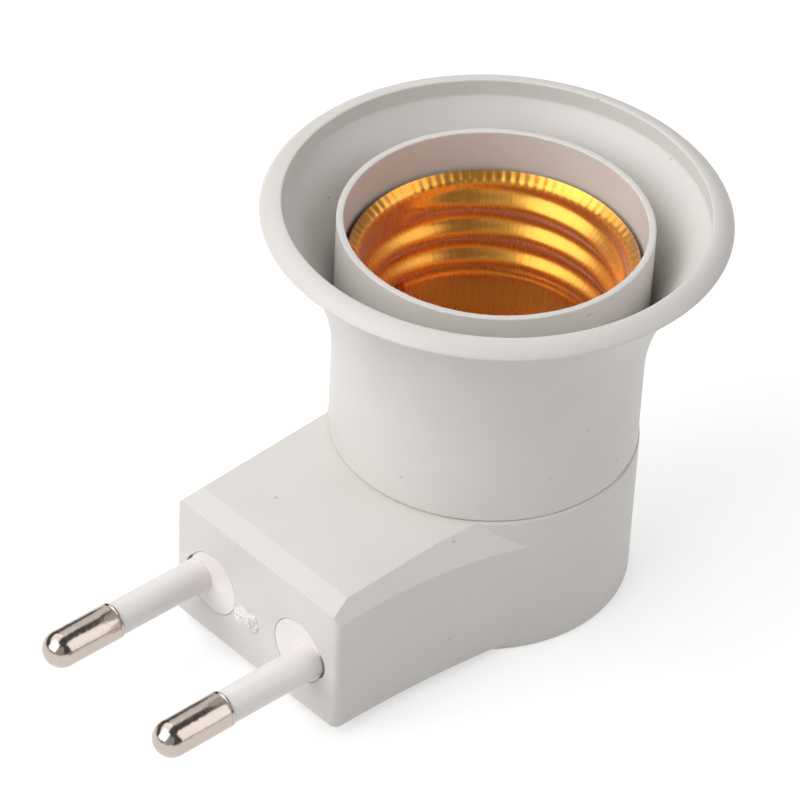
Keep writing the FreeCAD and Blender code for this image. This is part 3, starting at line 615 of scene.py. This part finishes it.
brass, brass_shader, brass_place = new_material("brass_stamped_plain")
brass_shader.inputs["Metallic"].default_value = 1.0
tarnish = add_node(
    brass, "ShaderNodeTexNoise", {"Scale": 1 / 0.0011, "Detail": 4.0}, {"Vector": brass_place}
)
yellow = add_node(
    brass,
    "ShaderNodeMix",
    {"data_type": "RGBA", 6: linear("#C79B48"), 7: linear("#DDBB6C")},
    {0: tarnish.outputs[0]},
)
brass.node_tree.links.new(yellow.outputs[2], brass_shader.inputs["Base Color"])
dull = add_node(brass, "ShaderNodeMapRange", {3: 0.22, 4: 0.40}, {0: tarnish.outputs[0]})
brass.node_tree.links.new(dull.outputs[0], brass_shader.inputs["Roughness"])
for node in ("shell_rivet_front", "shell_rivet_back", "contact_rivet", "shell_lug", "centre_lug"):
    fitting = own_copy(node, "brass_" + node)
    soften(fitting, 0.06)
    fitting.data.materials.append(brass)
    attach(fitting, "holder")
    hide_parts(node)

# The centre contact is a strip of phosphor bronze, folded back over itself as a spring: browner than
# the brass, with the lines of the rolling mill along it.

bronze, bronze_shader, bronze_place = new_material("phosphor_bronze_rolled")
bronze_shader.inputs["Metallic"].default_value = 1.0
lengthwise = add_node(bronze, "ShaderNodeMapping", {"Scale": (0.08, 1.0, 1.0)}, {"Vector": bronze_place})
mill = add_node(
    bronze, "ShaderNodeTexNoise", {"Scale": 1 / 0.00025, "Detail": 3.0}, {"Vector": lengthwise.outputs[0]}
)
brown = add_node(
    bronze,
    "ShaderNodeMix",
    {"data_type": "RGBA", 6: linear("#B5794A"), 7: linear("#CF9A66")},
    {0: mill.outputs[0]},
)
bronze.node_tree.links.new(brown.outputs[2], bronze_shader.inputs["Base Color"])
rolled = add_node(bronze, "ShaderNodeMapRange", {3: 0.20, 4: 0.36}, {0: mill.outputs[0]})
bronze.node_tree.links.new(rolled.outputs[0], bronze_shader.inputs["Roughness"])
strip = own_copy("centre_contact", "bronze_contact_strip")
soften(strip, 0.06)
strip.data.materials.append(bronze)
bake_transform(strip)
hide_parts("centre_contact")

# The contact button is a silver rivet in the strip's free end, pressed to a low dome: white and bright,
# with a worn, slightly dulled top.

silver, silver_shader, silver_place = new_material("silver_pressed")
silver_shader.inputs["Metallic"].default_value = 1.0
worn = add_node(
    silver, "ShaderNodeTexNoise", {"Scale": 1 / 0.0007, "Detail": 4.0}, {"Vector": silver_place}
)
shine = add_node(
    silver,
    "ShaderNodeMix",
    {"data_type": "RGBA", 6: linear("#D6D3CD"), 7: linear("#EFEDE9")},
    {0: worn.outputs[0]},
)
silver.node_tree.links.new(shine.outputs[2], silver_shader.inputs["Base Color"])
pressed_skin = add_node(silver, "ShaderNodeMapRange", {3: 0.14, 4: 0.32}, {0: worn.outputs[0]})
silver.node_tree.links.new(pressed_skin.outputs[0], silver_shader.inputs["Roughness"])
button = own_copy("contact_button", "silver_contact_button")
soften(button, 0.05)
button.data.materials.append(silver)
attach(button, "button")
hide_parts("contact_button")

# The ferrules are tinned copper tubes, crimped over the pins' tails and the leads' bare ends: grey
# and a little dull.

tinned, tinned_shader, tinned_place = new_material("copper_tinned_crimped")
tinned_shader.inputs["Metallic"].default_value = 1.0
dip = add_node(tinned, "ShaderNodeTexNoise", {"Scale": 1 / 0.0015, "Detail": 3.0}, {"Vector": tinned_place})
grey = add_node(
    tinned,
    "ShaderNodeMix",
    {"data_type": "RGBA", 6: linear("#A9A6A1"), 7: linear("#C4C1BC")},
    {0: dip.outputs[0]},
)
tinned.node_tree.links.new(grey.outputs[2], tinned_shader.inputs["Base Color"])
tin_skin = add_node(tinned, "ShaderNodeMapRange", {3: 0.25, 4: 0.42}, {0: dip.outputs[0]})
tinned.node_tree.links.new(tin_skin.outputs[0], tinned_shader.inputs["Roughness"])
for node in ("live_ferrule", "neutral_ferrule"):
    tube = own_copy(node, "tinned_" + node)
    soften(tube, 0.06)
    tube.data.materials.append(tinned)
    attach(tube, "holder")
    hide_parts(node)

# The leads inside are wire in extruded PVC, brown for live and blue for neutral: softly shiny, with
# the faint ripple of the extruder.

for colour, dark, pale, node in (
    ("brown", "#5A3019", "#6E3F24", "live_lead"),
    ("blue", "#1F4E8C", "#2C62A6", "neutral_lead"),
):
    pvc, pvc_shader, pvc_place = new_material("pvc_extruded_" + colour)
    ripple = add_node(
        pvc, "ShaderNodeTexNoise", {"Scale": 1 / 0.0016, "Detail": 3.0}, {"Vector": pvc_place}
    )
    dye = add_node(
        pvc,
        "ShaderNodeMix",
        {"data_type": "RGBA", 6: linear(dark), 7: linear(pale)},
        {0: ripple.outputs[0]},
    )
    pvc.node_tree.links.new(dye.outputs[2], pvc_shader.inputs["Base Color"])
    soft_shine = add_node(pvc, "ShaderNodeMapRange", {3: 0.34, 4: 0.48}, {0: ripple.outputs[0]})
    pvc.node_tree.links.new(soft_shine.outputs[0], pvc_shader.inputs["Roughness"])
    jacket = add_node(
        pvc, "ShaderNodeBump", {"Strength": 0.3, "Distance": 0.00005}, {"Height": ripple.outputs[0]}
    )
    pvc.node_tree.links.new(jacket.outputs[0], pvc_shader.inputs["Normal"])
    wire = own_copy(node, colour + "_lead")
    bpy.ops.object.shade_smooth_by_angle(angle=math.radians(40))
    wire.data.materials.append(pvc)
    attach(wire, "holder")
    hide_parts(node)

# Solder holds each lead's end to its lug: a small cone of tin that set with a dull, wrinkled skin.

solder, solder_shader, solder_place = new_material("tin_solder_set")
solder_shader.inputs["Metallic"].default_value = 1.0
wrinkle = add_node(
    solder, "ShaderNodeTexNoise", {"Scale": 1 / 0.0005, "Detail": 4.0}, {"Vector": solder_place}
)
leaden = add_node(
    solder,
    "ShaderNodeMix",
    {"data_type": "RGBA", 6: linear("#A3A29F"), 7: linear("#C2C1BD")},
    {0: wrinkle.outputs[0]},
)
solder.node_tree.links.new(leaden.outputs[2], solder_shader.inputs["Base Color"])
set_skin = add_node(solder, "ShaderNodeMapRange", {3: 0.26, 4: 0.46}, {0: wrinkle.outputs[0]})
solder.node_tree.links.new(set_skin.outputs[0], solder_shader.inputs["Roughness"])
for node in ("live_solder", "neutral_solder"):
    cone = own_copy(node, "tin_" + node)
    soften(cone, 0.08)
    cone.data.materials.append(solder)
    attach(cone, "holder")
    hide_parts(node)

bpy.context.scene.view_settings.view_transform = "Standard"
